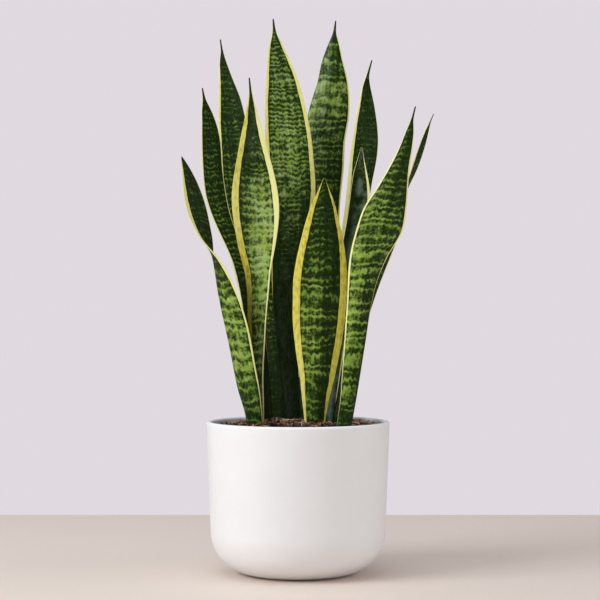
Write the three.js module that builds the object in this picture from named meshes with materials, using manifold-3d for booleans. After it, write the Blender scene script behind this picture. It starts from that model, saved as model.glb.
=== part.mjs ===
// A snake plant (a clump of eleven upright, sword-shaped leaves) growing in a round ceramic pot.
// Units are millimetres, +Z is up, the front of the plant looks along -Y, and the origin is the
// centre of the pot's foot, on the surface that it stands on.
//
// What it is made of, from the bottom up: the pot, the potting soil, the buried rhizome that the
// leaves grow from, the bark mulch on the soil, and the leaves.
import * as THREE from "three";
import { mergeVertices } from "three/addons/utils/BufferGeometryUtils.js";
import Module from "manifold-3d";

// ---- Pot ------------------------------------------------------------------------------------
const POT_RIM_RADIUS = 100;
const POT_HEIGHT = 166;
const POT_WALL = 6;
const POT_FLOOR = 8;
const POT_TAPER = 4.5; // the wall's foot is this much nearer the axis than the rim
const POT_CORNER_RADIUS = 48; // of the big round between the wall and the foot
const POT_LIP_RADIUS = 2.4; // of the two rounds along the rim
const POT_SIDES = 44;
const CORNER_STEPS = 6;
const LIP_STEPS = 3;

// ---- Soil and mulch -------------------------------------------------------------------------
const CLEARANCE = 0.3; // between any two pieces that touch
const MULCH_BELOW_RIM = 8; // at the pot's wall
const MULCH_CROWN = 11; // how far the mulch's mound rises above its own edge
const MULCH_THICKNESS = 5;
const MOUND_STEPS = 3;

// ---- Rhizome and leaves ---------------------------------------------------------------------
const CLUMP_TO_WALL = 18.8; // from the circle that the leaves' feet stand in to the pot's inside
const PLANTING_DEPTH = 30; // from the rim's level down to the foot of every leaf
const RHIZOME_RADIUS = 8;
const RHIZOME_SIDES = 8;
const RING_SIDES = 10; // corners of a leaf's section, with a flat side along each margin
const RINGS_PER_STATION = 2;
const TIP_THINNING = 0.62; // share of its thickness that a leaf loses between foot and tip
const TIP_THICKNESS_RATIO = 0.9; // thickness over half width, where a tip is too narrow for more

// Every leaf has its midrib's thickness at the foot, the place of its foot, in clump radii from the
// pot's axis, and a list of stations from its foot to its tip:
// [height above the rim, x from the foot, y from the foot, half width, turn, fold].
// Turn is the blade's heading in degrees: at 0 its width runs along +X. Fold is the half angle of
// the arc that its section bends through: above 0 it cups towards the front at turn 0, below 0
// towards the back.
const LEAVES = [
  {
    name: "leaf_far_left_twisted",
    thickness: 4.4,
    foot: [-0.612, -0.28],
    stations: [
      [-PLANTING_DEPTH, 0, 0, 9.6, -28, -50],
      [8, -3, 0, 10.4, -30, -45],
      [34, -8, 0.5, 13.6, -32, -35],
      [65, -14, 1, 15, -34, -25],
      [100, -21, 2, 16, -36, -20],
      [125, -27, 3, 16.4, -42, -17],
      [154, -35.4, 4, 16.4, -56, -14],
      [179, -44.9, 5, 16, -80, -12],
      [197, -53.4, 5.5, 15.6, -111, -12],
      [219, -61, 6.5, 14.8, -129, -12],
      [241, -66.7, 7.5, 13, -139, -12],
      [262, -72, 8, 9.4, -141, -10],
      [277, -76.4, 8.5, 4.8, -142, -6],
      [288, -80.4, 9, 0.7, -142, -2],
    ],
  },
  {
    name: "leaf_left_outer",
    thickness: 4,
    foot: [-0.49, 0.31],
    stations: [
      [-PLANTING_DEPTH, 0, 0, 9, 28, 55],
      [10, -2, 1.5, 10, 28, 50],
      [77, -9, 4.5, 12, 28, 30],
      [132, -17, 6.5, 10.8, 28, 20],
      [177, -28.4, 9.5, 10.2, 28, 16],
      [221, -47, 11.5, 11.6, 28, 14],
      [244.5, -54, 12, 12.8, 28, 14],
      [277.5, -58.5, 13.5, 12.4, 28, 14],
      [310.5, -60.5, 15.5, 11.6, 28, 14],
      [328.5, -62.5, 17, 9.4, 28, 12],
      [344, -65.5, 17.5, 6, 28, 10],
      [356, -68, 18, 2.2, 28, 5],
      [369, -70, 19, 0.7, 28, 2],
    ],
  },
  {
    name: "leaf_left_tall",
    thickness: 4.6,
    foot: [-0.32, 0.6],
    stations: [
      [-PLANTING_DEPTH, 0, 0, 10, -16, 55],
      [4, -1.5, 1.5, 11, -16, 50],
      [56, -7.5, 6, 14, -14, 34],
      [110, -16, 12.5, 17.6, -12, 24],
      [165, -26.2, 18.5, 22.2, -12, 19],
      [215.5, -35, 24, 23.7, -12, 16],
      [262.5, -42.5, 30, 20.5, -12, 14],
      [303, -47, 34.5, 18.3, -12, 14],
      [333, -50.5, 38, 16.3, -12, 14],
      [362.5, -54, 41, 12.7, -12, 14],
      [385.5, -58.5, 44, 7.9, -12, 12],
      [405, -62, 46, 4, -12, 8],
      [416, -63, 47.5, 1.6, -12, 4],
      [430.5, -65, 49, 0.7, -12, 2],
    ],
  },
  {
    name: "leaf_front_left",
    thickness: 4.4,
    foot: [-0.55, -0.01],
    stations: [
      [-PLANTING_DEPTH, -1.2, 0, 8.4, -48, 55],
      [6, -1.4, -1.5, 9, -48, 52],
      [45, -2.4, -4, 9.6, -44, 46],
      [80, -2.2, -5.5, 10.4, -40, 38],
      [110, -2.5, -7, 12, -33, 30],
      [140, -2, -8.5, 12.8, -24, 26],
      [165, -2.6, -9, 14.9, -14, 22],
      [187, -3.4, -9.5, 19.6, -7, 19],
      [219, -4, -11.5, 24.7, -3, 17],
      [240.5, -5, -12, 25.5, 0, 16],
      [262.5, -6, -12.5, 22.9, 0, 16],
      [305.5, -8, -14.5, 13.4, 0, 14],
      [337.5, -9, -16, 5.8, 0, 10],
      [355, -10, -16.5, 2, 0, 5],
      [373, -11.5, -17, 0.7, 0, 2],
    ],
  },
  {
    name: "leaf_centre_tallest",
    thickness: 5,
    foot: [-0.09, 0.27],
    stations: [
      [-PLANTING_DEPTH, 0, 0, 9.6, 34, 50],
      [4, 0, 2, 10, 32, 45],
      [44, -3, 4, 11, 26, 36],
      [88, -5, 6, 13, 18, 28],
      [132, -5, 8, 16.4, 10, 24],
      [176, -3, 10, 20, 4, 20],
      [221, -1, 12, 23.8, 0, 17],
      [254, -0.5, 13, 26.4, 0, 15],
      [288, -2.5, 15, 26.4, 0, 15],
      [322, -5, 16, 25.2, 0, 15],
      [355, -8.5, 18, 21.6, 0, 15],
      [378, -11, 19, 17.6, 0, 15],
      [400, -15, 20, 12.6, 0, 13],
      [417, -18, 20.5, 7.4, 0, 10],
      [430, -19.5, 21, 2.6, 0, 6],
      [446, -21, 22, 0.7, 0, 2],
    ],
  },
  {
    name: "leaf_back_right_tall",
    thickness: 5,
    foot: [0.155, 0.6],
    stations: [
      [-PLANTING_DEPTH, -0.6, 0, 13.4, -12, -42],
      [4, 0.8, 1.5, 15.2, -12, -38],
      [66, 7.8, 7.5, 17.2, -12, -30],
      [132, 13.9, 14, 18, -12, -26],
      [200, 13.9, 20.5, 20.1, -12, -24],
      [245.5, 13.9, 25.5, 22.5, -12, -24],
      [280.5, 15.4, 28.5, 24.5, -12, -24],
      [314, 17.9, 32.5, 24.1, -12, -24],
      [339, 21.9, 35, 24.3, -12, -24],
      [360.5, 24.9, 37, 21.9, -12, -24],
      [382.5, 27.4, 39.5, 17.3, -12, -22],
      [406, 27.4, 42, 11.9, -12, -18],
      [424, 28.9, 44, 6.6, -12, -12],
      [436, 29.9, 45.5, 2.4, -12, -6],
      [451.5, 31.4, 47, 0.7, -12, -2],
    ],
  },
  {
    name: "leaf_front_centre",
    thickness: 5,
    foot: [0.23, -0.44],
    stations: [
      [-PLANTING_DEPTH, 0, 0, 10, 0, -60],
      [3, 1, -1.5, 11, 0, -55],
      [25, 1.5, -2.5, 14.2, 0, -40],
      [46, 3, -4, 18, 0, -30],
      [79, 4, -5.5, 24, 0, -22],
      [111, 5, -8, 28, 0, -17],
      [132, 6, -9.5, 28.8, 0, -15],
      [154, 6.5, -10.5, 28.8, 0, -14],
      [175, 7.5, -12, 26.7, 0, -13],
      [196, 8.5, -13, 22.9, 0, -12],
      [218, 9, -14.5, 17.4, 0, -11],
      [238.5, 10, -15.5, 10.8, 0, -8],
      [250.5, 10.5, -16, 5.6, 0, -5],
      [262.5, 11, -17, 0.7, 0, -2],
    ],
  },
  {
    name: "leaf_right_back",
    thickness: 4.4,
    foot: [0.43, 0.36],
    stations: [
      [-PLANTING_DEPTH, 0, 0, 9.6, 8, 50],
      [4, 1, 1.5, 10.4, 8, 45],
      [66, 9, 6.5, 13.2, 8, 32],
      [132, 19, 12, 14.6, 8, 22],
      [212, 30, 18, 13.6, 8, 16],
      [244.5, 34, 21, 13.6, 8, 15],
      [266.5, 37, 23, 14.2, 8, 15],
      [289.5, 40.5, 25.5, 15.3, 8, 15],
      [311.5, 43, 27, 14.7, 8, 15],
      [335, 44, 29, 12, 8, 13],
      [357, 44.5, 31, 8, 8, 10],
      [373, 44.5, 32, 4.6, 8, 7],
      [384, 46, 33.5, 2, 8, 4],
      [402.5, 51, 35, 0.7, 8, 2],
    ],
  },
  {
    name: "leaf_right_inner",
    thickness: 4,
    foot: [0.37, -0.01],
    stations: [
      [-PLANTING_DEPTH, 0, 0, 8, 0, 60],
      [5, 2, 1, 9, 0, 56],
      [66, 11, 2, 10.2, 0, 50],
      [132, 22, 3, 10.8, 0, 44],
      [198, 33, 5, 11.4, 0, 40],
      [232, 39, 5.5, 11.6, 0, 38],
      [254, 40.5, 6, 10.2, 0, 34],
      [270, 40.5, 6, 7.8, 0, 26],
      [284, 41, 6.5, 4.4, 0, 16],
      [300, 42, 7, 0.7, 0, 4],
    ],
  },
  {
    name: "leaf_front_right",
    thickness: 4.6,
    foot: [0.6, -0.78],
    stations: [
      [-PLANTING_DEPTH, 0.9, 0, 7.2, -10, -55],
      [0, 4.3, -0.5, 7.6, -10, -48],
      [26, 8.1, -1, 8.2, -10, -38],
      [58, 11.7, -1.5, 10, -10, -28],
      [90, 15.5, -2, 11.4, -10, -22],
      [122, 19, -2.5, 12.8, -10, -18],
      [154, 23.5, -3, 16, -10, -15],
      [180, 30.5, -4, 20.4, -10, -13],
      [204.5, 40.5, -5, 24.8, -10, -12],
      [231, 47.5, -6, 22.6, -10, -12],
      [249, 54, -7, 17.4, -10, -12],
      [270, 61, -8, 11.8, -10, -11],
      [290.5, 68, -9, 7.8, -10, -9],
      [310, 73, -10, 4.4, -10, -6],
      [322, 75.5, -10.5, 1.6, -10, -4],
      [336.5, 79, -11, 0.7, -10, -2],
    ],
  },
  {
    name: "leaf_far_right",
    thickness: 3.6,
    foot: [0.49, -0.27],
    stations: [
      [-PLANTING_DEPTH, 0, 0, 8, 58, 40],
      [6, 5, 0, 8.4, 58, 36],
      [78, 23, 3, 10, 60, 26],
      [148, 46, 5, 10.4, 62, 20],
      [208, 69, 7.5, 10.2, 62, 16],
      [254, 80.8, 9, 8.8, 75, 14],
      [269, 87, 9.7, 8.6, 67, 13],
      [285, 93, 10.5, 8, 60, 12],
      [306, 100, 11, 6.2, 58, 10],
      [318, 104, 11.5, 3.6, 58, 6],
      [326, 107, 12, 1.4, 58, 4],
      [335, 111, 12, 0.7, 58, 2],
    ],
  },
];

// The rhizome's creeping stems, each between the feet of two leaves.
const RHIZOME_STEMS = [
  ["leaf_far_left_twisted", "leaf_front_left"],
  ["leaf_front_left", "leaf_left_outer"],
  ["leaf_left_outer", "leaf_left_tall"],
  ["leaf_left_tall", "leaf_centre_tallest"],
  ["leaf_centre_tallest", "leaf_back_right_tall"],
  ["leaf_back_right_tall", "leaf_right_back"],
  ["leaf_right_back", "leaf_right_inner"],
  ["leaf_right_inner", "leaf_far_right"],
  ["leaf_far_right", "leaf_front_right"],
  ["leaf_far_right", "leaf_front_centre"],
];

// ---- Materials ------------------------------------------------------------------------------
const ceramic = new THREE.MeshStandardMaterial({ color: 0xf2f0ee, roughness: 0.55, metalness: 0 });
const soilBrown = new THREE.MeshStandardMaterial({ color: 0x2a1d15, roughness: 1, metalness: 0 });
const barkBrown = new THREE.MeshStandardMaterial({ color: 0x5a3a28, roughness: 0.95, metalness: 0 });
const rootCream = new THREE.MeshStandardMaterial({ color: 0xc9a878, roughness: 0.8, metalness: 0 });
const leafGreen = new THREE.MeshStandardMaterial({ color: 0x3f6b2c, roughness: 0.45, metalness: 0 });

// ---- Solids ---------------------------------------------------------------------------------
const wasm = await Module();
wasm.setup();

// A three.js geometry, moved by a matrix, as a manifold-3d solid.
function toSolid(geometry, matrix = new THREE.Matrix4()) {
  const moved = geometry.clone().applyMatrix4(matrix);
  moved.deleteAttribute("normal");
  moved.deleteAttribute("uv");
  const merged = mergeVertices(moved, 1e-4);
  return new wasm.Manifold(
    new wasm.Mesh({
      numProp: 3,
      vertProperties: merged.attributes.position.array,
      triVerts: new Uint32Array(merged.index.array),
    }),
  );
}

// A manifold-3d solid as a three.js geometry.
function toGeometry(solid) {
  const mesh = solid.getMesh();
  return new THREE.BufferGeometry()
    .setAttribute("position", new THREE.BufferAttribute(mesh.vertProperties, 3))
    .setIndex(new THREE.BufferAttribute(mesh.triVerts, 1));
}

// A solid of revolution about Z from a profile of [radius, height] points.
function turned(profile, sides = POT_SIDES) {
  const points = profile.map(([radius, height]) => new THREE.Vector2(radius, height));
  return new THREE.LatheGeometry(points, sides).rotateX(Math.PI / 2);
}

// Points on an ellipse's arc between two angles in degrees, 0 being outwards and 90 upwards.
function arc(centreRadius, centreHeight, radiusAcross, radiusUp, from, to, steps) {
  return Array.from({ length: steps + 1 }, (_, i) => {
    const angle = THREE.MathUtils.degToRad(from + ((to - from) * i) / steps);
    return [
      centreRadius + radiusAcross * Math.cos(angle),
      centreHeight + radiusUp * Math.sin(angle),
    ];
  });
}

// ---- Pot ------------------------------------------------------------------------------------
const wallFootRadius = POT_RIM_RADIUS - POT_TAPER;
const footRadius = wallFootRadius - POT_CORNER_RADIUS;
const lipBase = POT_HEIGHT - POT_LIP_RADIUS;

// The pot's inside radius at a height above its corner, with a gap kept to the wall.
function insideRadius(height, gap = 0) {
  const share = (height - POT_CORNER_RADIUS) / (lipBase - POT_CORNER_RADIUS);
  return wallFootRadius + POT_TAPER * share - POT_WALL - gap;
}

// The inside of the pot from its axis, over the floor and round the corner, to the wall's foot.
function insideFloor(gap) {
  const corner = arc(
    footRadius,
    POT_CORNER_RADIUS,
    POT_CORNER_RADIUS - POT_WALL - gap,
    POT_CORNER_RADIUS - POT_FLOOR - gap,
    -90,
    0,
    CORNER_STEPS,
  );
  return [[0, POT_FLOOR + gap], ...corner];
}

function potGeometry() {
  const innerLip = POT_RIM_RADIUS - POT_WALL + POT_LIP_RADIUS;
  const outerLip = POT_RIM_RADIUS - POT_LIP_RADIUS;
  return turned([
    [0, 0],
    ...arc(footRadius, POT_CORNER_RADIUS, POT_CORNER_RADIUS, POT_CORNER_RADIUS, -90, 0, CORNER_STEPS),
    ...arc(outerLip, lipBase, POT_LIP_RADIUS, POT_LIP_RADIUS, 0, 90, LIP_STEPS),
    ...arc(innerLip, lipBase, POT_LIP_RADIUS, POT_LIP_RADIUS, 90, 180, LIP_STEPS),
    ...insideFloor(0).reverse(),
  ]);
}

// ---- Leaves ---------------------------------------------------------------------------------
const clumpRadius = insideRadius(POT_HEIGHT - MULCH_BELOW_RIM) - CLUMP_TO_WALL;

function footPlace({ foot: [x, y] }) {
  return [x * clumpRadius, y * clumpRadius];
}

// A leaf is a closed cylinder whose flat rings are reshaped into the leaf's sections: the
// cylinder's X runs across the blade, its Z through the blade and its Y along the stations.
// Each section is an arc of the station's fold, thick at the midrib and thin at the margins.
// With a gap, the same shape swollen by the gap makes the leaf's socket.
function leafGeometry(leaf, gap = 0) {
  const { stations, thickness } = leaf;
  const [footX, footY] = footPlace(leaf);
  const heights = stations.map(([height]) => POT_HEIGHT + height);
  const columns = new THREE.CubicInterpolant(heights, stations.flatMap((row) => row.slice(1)), 5);
  const spans = stations.length - 1;
  const foot = heights[0];
  const rise = heights[spans] - foot;

  function sectionPoint(across, through, ring) {
    const from = Math.min(Math.floor(ring), spans - 1);
    const height = THREE.MathUtils.lerp(heights[from], heights[from + 1], ring - from);
    const [x, y, halfWidth, turn, fold] = columns.evaluate(height);
    const thinned = thickness * (1 - (TIP_THINNING * (height - foot)) / rise);
    const halfThickness = Math.min(thinned, TIP_THICKNESS_RATIO * halfWidth) / 2;
    const bend = THREE.MathUtils.degToRad(fold);
    const bendRadius = halfWidth / Math.sin(bend);
    const angle = bend * across * (1 + gap / halfWidth);
    const offset = through * halfThickness + Math.sign(through) * gap;
    const middle = (bendRadius - halfWidth / Math.tan(bend)) / 2;
    const along = Math.sin(angle) * (bendRadius - offset);
    const out = bendRadius - Math.cos(angle) * (bendRadius - offset) - middle;
    const heading = THREE.MathUtils.degToRad(turn);
    return [
      footX + x + along * Math.cos(heading) + out * Math.sin(heading),
      footY + y + along * Math.sin(heading) - out * Math.cos(heading),
      ring === 0 ? height - gap : height,
    ];
  }

  const radius = 1 / Math.cos(Math.PI / RING_SIDES); // puts the margins at -1 and 1
  const rings = spans * RINGS_PER_STATION;
  const cylinder = new THREE.CylinderGeometry(radius, radius, spans, RING_SIDES, rings);
  const position = cylinder.attributes.position;
  for (let i = 0; i < position.count; i++) {
    const across = position.getX(i);
    const through = position.getZ(i) / radius;
    const ring = position.getY(i) + spans / 2;
    position.setXYZ(i, ...sectionPoint(across, through, ring));
  }
  return cylinder;
}

// ---- Rhizome --------------------------------------------------------------------------------
// One branching solid of round-ended stems lying just under the feet of the leaves.
const rhizomeHeight = POT_HEIGHT - PLANTING_DEPTH - CLEARANCE - RHIZOME_RADIUS;

function rhizomeSolid(gap = 0) {
  const feet = new Map(LEAVES.map((leaf) => [leaf.name, footPlace(leaf)]));
  const stems = RHIZOME_STEMS.map((pair) => {
    const [start, end] = pair.map((leaf) => new THREE.Vector3(...feet.get(leaf), rhizomeHeight));
    const span = end.clone().sub(start);
    const turn = new THREE.Quaternion().setFromUnitVectors(
      new THREE.Vector3(0, 1, 0),
      span.clone().normalize(),
    );
    const place = new THREE.Matrix4().compose(
      start.clone().lerp(end, 0.5),
      turn,
      new THREE.Vector3(1, 1, 1),
    );
    return toSolid(
      new THREE.CapsuleGeometry(RHIZOME_RADIUS + gap, span.length(), 2, RHIZOME_SIDES),
      place,
    );
  });
  return stems.reduce((all, stem) => all.add(stem));
}

// ---- Soil and mulch -------------------------------------------------------------------------
// Height of the mulch's top at a radius: a mound that falls away towards the wall.
function mulchTop(radius) {
  const edge = POT_HEIGHT - MULCH_BELOW_RIM;
  const share = radius / insideRadius(edge);
  return edge + MULCH_CROWN * (1 - share ** 2);
}

// The mound's profile from the pot's wall to the axis, lowered by a depth.
function moundProfile(lowered) {
  const wallRadius = insideRadius(POT_HEIGHT - MULCH_BELOW_RIM - MULCH_THICKNESS, CLEARANCE);
  return Array.from({ length: MOUND_STEPS + 1 }, (_, i) => {
    const radius = wallRadius * (1 - i / MOUND_STEPS);
    return [radius, mulchTop(radius) - lowered];
  });
}

const sockets = LEAVES.map((leaf) => toSolid(leafGeometry(leaf, CLEARANCE)));
const allSockets = sockets.reduce((all, socket) => all.add(socket));

function soilGeometry() {
  const body = toSolid(
    turned([...insideFloor(CLEARANCE), ...moundProfile(MULCH_THICKNESS + CLEARANCE)]),
  );
  return toGeometry(body.subtract(allSockets).subtract(rhizomeSolid(CLEARANCE)));
}

function mulchGeometry() {
  const layer = toSolid(turned([...moundProfile(MULCH_THICKNESS).reverse(), ...moundProfile(0)]));
  return toGeometry(layer.subtract(allSockets));
}

// ---- The plant in its pot -------------------------------------------------------------------
const plant = new THREE.Group();

function addPiece(name, geometry, material) {
  const mesh = new THREE.Mesh(geometry, material);
  mesh.name = name;
  plant.add(mesh);
}

addPiece("ceramic_pot", potGeometry(), ceramic);
addPiece("potting_soil", soilGeometry(), soilBrown);
addPiece("bark_mulch", mulchGeometry(), barkBrown);
addPiece("rhizome", toGeometry(rhizomeSolid()), rootCream);
LEAVES.forEach((leaf) => addPiece(leaf.name, leafGeometry(leaf), leafGreen));

export default plant;
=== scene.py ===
# %% [markdown]
# # A snake plant in a white ceramic pot
#
# The real object is a clump of eleven stiff, sword-shaped leaves with yellow margins. They grow
# from a creeping stem that is buried in a plain round pot, under a mulch of bark chips and fibre.
# The CAD model settles where everything is. This file keeps those places and sizes, and gives
# each piece its fine surface and its finish.

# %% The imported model
import math

import bpy
import numpy as np
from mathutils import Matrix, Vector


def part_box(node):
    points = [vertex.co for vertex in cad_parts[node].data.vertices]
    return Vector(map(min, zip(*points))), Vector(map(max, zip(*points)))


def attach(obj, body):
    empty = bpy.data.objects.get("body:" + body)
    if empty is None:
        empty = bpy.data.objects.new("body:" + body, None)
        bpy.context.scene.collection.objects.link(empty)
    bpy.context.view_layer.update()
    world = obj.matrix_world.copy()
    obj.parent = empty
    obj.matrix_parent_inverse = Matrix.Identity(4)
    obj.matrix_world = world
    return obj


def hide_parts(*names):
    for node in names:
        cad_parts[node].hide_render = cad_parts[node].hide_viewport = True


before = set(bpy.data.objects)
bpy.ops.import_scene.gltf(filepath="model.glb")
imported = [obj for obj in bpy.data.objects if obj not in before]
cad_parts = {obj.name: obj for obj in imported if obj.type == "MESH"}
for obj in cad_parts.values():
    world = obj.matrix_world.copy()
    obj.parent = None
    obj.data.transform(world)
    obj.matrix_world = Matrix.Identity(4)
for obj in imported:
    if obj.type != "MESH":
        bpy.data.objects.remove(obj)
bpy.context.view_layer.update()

MM = 0.001
LEAVES = sorted(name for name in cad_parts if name.startswith("leaf_"))
print(len(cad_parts), "nodes,", len(LEAVES), "of them leaves")

# %% [markdown]
# ## Closed tubes
#
# A leaf, the pot, a bark chip and a coir fibre look different, but they are all closed tubes: a
# ring of points carried along a path, shut at both ends. So one helper is enough. It takes a
# grid of points, one row for each ring, and joins each point to its neighbours with quads. The
# rings run anticlockwise seen from the path's far end, which makes every face point outwards.
# Values that a finish needs, such as the distance to a leaf's margin, go in as attributes.

# %% One mesh from one or more grids of points


def tube_faces(rows, columns):
    """Corners of a closed tube's faces: quads between rings, and a fan of triangles at each end.

    Point (row, column) has the number row * columns + column, and the two end centres follow."""
    row, column = np.meshgrid(np.arange(rows - 1), np.arange(columns), indexing="ij")
    here = row * columns + column
    beside = row * columns + (column + 1) % columns
    quads = np.stack([here, beside, beside + columns, here + columns], -1).reshape(-1, 4)
    ring = np.arange(columns)
    ahead = (ring + 1) % columns
    foot = np.full(columns, rows * columns)
    foot_fan = np.stack([foot, ahead, ring], -1)
    top = (rows - 1) * columns
    tip_fan = np.stack([foot + 1, top + ring, top + ahead], -1)
    return quads, np.concatenate([foot_fan, tip_fan])


def with_ends(grid):
    """Grids of shape (copies, rows, columns, values) as (copies, points, values), with the mean
    of the first ring and of the last ring added as the two end centres."""
    ends = np.stack([grid[:, 0].mean(1), grid[:, -1].mean(1)], 1)
    return np.concatenate([grid.reshape(len(grid), -1, grid.shape[-1]), ends], 1)


def add_tubes(name, grids, finish, fields=None, smooth=True):
    """One object of closed tubes, from points of shape (copies, rows, columns, 3). Each field is
    a number, or numbers that numpy can repeat to fill (copies, rows, columns)."""
    copies, rows, columns, _ = grids.shape
    points = with_ends(grids)
    quads, fans = tube_faces(rows, columns)
    first = (np.arange(copies) * points.shape[1])[:, None, None]
    faces = (first + quads).reshape(-1, 4).tolist() + (first + fans).reshape(-1, 3).tolist()
    mesh = bpy.data.meshes.new(name)
    mesh.from_pydata(points.reshape(-1, 3), [], faces)
    mesh.polygons.foreach_set("use_smooth", np.full(len(faces), smooth))
    for field, values in (fields or {}).items():
        filled = np.broadcast_to(values, grids.shape[:3])[..., None]
        layer = mesh.attributes.new(field, "FLOAT", "POINT")
        layer.data.foreach_set("value", with_ends(filled).ravel().astype(np.float32))
    mesh.materials.append(finish)
    piece = bpy.data.objects.new(name, mesh)
    bpy.context.scene.collection.objects.link(piece)
    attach(piece, "root")
    print(f"{name}: {len(faces)} faces")
    return piece


example_quads, example_fans = tube_faces(5, 6)
print("a tube of 5 rings with 6 corners has", len(example_quads) + len(example_fans), "faces")

# %% [markdown]
# ## Finishes written as sums
#
# Every finish here is worked out from noise and from distances on the surface. Wired by hand,
# that takes dozens of Math nodes. A small class makes it readable: it wraps a node's output, and
# each Python operator on it adds the Math node that does the same. Every other node comes from
# one method, which takes its type, its settings, and the values or wires of its sockets.

# %% A wire that Python's operators work on


class Wire:
    """A node's output socket. Adding, multiplying and so on give a new wire from a Math node."""

    def __init__(self, wiring, socket):
        self.wiring = wiring
        self.socket = socket

    def maths(self, operation, left, right):
        settings = {"operation": operation}
        return self.wiring.node("ShaderNodeMath", settings, {0: left, 1: right})

    def __add__(self, other):
        return self.maths("ADD", self, other)

    def __radd__(self, other):
        return self.maths("ADD", other, self)

    def __sub__(self, other):
        return self.maths("SUBTRACT", self, other)

    def __rsub__(self, other):
        return self.maths("SUBTRACT", other, self)

    def __mul__(self, other):
        return self.maths("MULTIPLY", self, other)

    def __rmul__(self, other):
        return self.maths("MULTIPLY", other, self)

    def __abs__(self):
        return self.maths("ABSOLUTE", self, 0.0)

    def wave(self):
        """The sine of a number of full turns."""
        return self.maths("SINE", self * (2 * math.pi), 0.0)


class Wiring:
    """The node tree of a material or of the room, and the one way to add a node to it."""

    def __init__(self, tree):
        self.tree = tree

    def feed(self, socket, value):
        """Gives an input socket a link, if the value is a wire, or else a plain value."""
        if isinstance(value, Wire):
            self.tree.links.new(value.socket, socket)
        else:
            socket.default_value = value

    def node(self, kind, settings, sockets, output=0):
        """A node of any kind: first its settings, then its sockets, and one output as a wire."""
        made = self.tree.nodes.new(kind)
        for setting, value in settings.items():
            setattr(made, setting, value)
        for socket, value in sockets.items():
            self.feed(made.inputs[socket], value)
        return Wire(self, made.outputs[output])


print("sums of wires become Math nodes")

# %% A finish: one Principled shader and what feeds it


def shade(red, green, blue):
    """A colour as seen on a screen, 0 to 255, as the linear colour that a shader takes."""
    share = np.array([red, green, blue]) / 255
    linear = np.where(share > 0.04045, ((share + 0.055) / 1.055) ** 2.4, share / 12.92)
    return (*linear.tolist(), 1.0)


class Finish(Wiring):
    """A material, and short ways to add the nodes that these finishes use. The constants are
    named after the shader's sockets, with _ for a space."""

    def __init__(self, name, **constants):
        self.material = bpy.data.materials.new(name)
        self.material.use_nodes = True
        super().__init__(self.material.node_tree)
        self.shader = self.tree.nodes["Principled BSDF"]
        for socket, value in constants.items():
            self.surface(socket.replace("_", " "), value)

    def surface(self, socket, value):
        """Feeds a socket of the shader itself."""
        self.feed(self.shader.inputs[socket], value)

    def field(self, name):
        """A number that the mesh carries at each point."""
        return self.node("ShaderNodeAttribute", {"attribute_name": name}, {}, "Fac")

    def place(self):
        """The place on the object, in metres, as three wires."""
        place = self.node("ShaderNodeTexCoord", {}, {}, "Object")
        return [self.node("ShaderNodeSeparateXYZ", {}, {0: place}, axis) for axis in "XYZ"]

    def noise(self, x, y, z, detail=2.0, roughness=0.5):
        """Smooth noise from 0 to 1, with features about 1 unit wide in the given coordinates."""
        vector = self.node("ShaderNodeCombineXYZ", {}, {0: x, 1: y, 2: z})
        sockets = {"Vector": vector, "Scale": 1.0, "Detail": detail, "Roughness": roughness}
        return self.node("ShaderNodeTexNoise", {}, sockets, "Fac")

    def solid_noise(self, per_metre, **kind):
        """Noise through the whole piece, with so many features in a metre along X, Y and Z."""
        x, y, z = self.place()
        return self.noise(x * per_metre[0], y * per_metre[1], z * per_metre[2], **kind)

    def rise(self, value, low, high):
        """0 below low and 1 above high, with a soft step between them."""
        settings = {"interpolation_type": "SMOOTHSTEP"}
        sockets = {"Value": value, "From Min": low, "From Max": high}
        return self.node("ShaderNodeMapRange", settings, sockets)

    def blend(self, share, first, second):
        """The first colour where share is 0, and the second where it is 1. Sockets 6 and 7 of a
        Mix node are its two colours, and output 2 is the colour that comes out."""
        settings = {"data_type": "RGBA"}
        return self.node("ShaderNodeMix", settings, {0: share, 6: first, 7: second}, 2)

    def relief(self, height, distance):
        """Bumps the surface by height, 0 to 1, times a distance in metres."""
        sockets = {"Height": height, "Distance": distance, "Strength": 1.0}
        self.surface("Normal", self.node("ShaderNodeBump", {}, sockets))


print("white is", tuple(round(value, 3) for value in shade(255, 255, 255)))

# %% [markdown]
# ## The pot
#
# The pot is slip-cast ceramic with a matt white glaze: a straight wall that opens a little towards
# the rim, one big round into a flat foot, and a soft lip. It could be a cylinder with bevels, but
# a turned profile says the same in one line of points, and its arcs can be as fine as they need.

# %% The pot's profile
POT_WALL = 6 * MM
POT_FLOOR = 8 * MM
POT_TAPER = 4.5 * MM
POT_CORNER_RADIUS = 48 * MM
POT_LIP_RADIUS = 2.6 * MM
POT_COLUMNS = 200

rim_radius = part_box("ceramic_pot")[1].x
pot_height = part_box("ceramic_pot")[1].z
wall_foot_radius = rim_radius - POT_TAPER
foot_radius = wall_foot_radius - POT_CORNER_RADIUS


def arc(centre, across, up, start, end, points):
    """Points (radius, height) on an ellipse's arc, from one angle in degrees to another."""
    angle = np.radians(np.linspace(start, end, points))
    return np.array(centre) + np.stack([across * np.cos(angle), up * np.sin(angle)], -1)


def line(start, end, points):
    """Points on a straight line, its own ends left out."""
    share = np.linspace(0, 1, points + 2)[1:-1, None]
    return (1 - share) * np.array(start) + share * np.array(end)


def turned(profile, columns):
    """A profile of (radius, height) turned about Z: x = r cos a, y = r sin a, z = height."""
    angle = np.linspace(0, 2 * np.pi, columns, endpoint=False)
    radius, height = profile[:, :1], profile[:, 1:]
    ones = np.ones(columns)
    return np.stack([radius * np.cos(angle), radius * np.sin(angle), height * ones], -1)[None]


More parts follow.
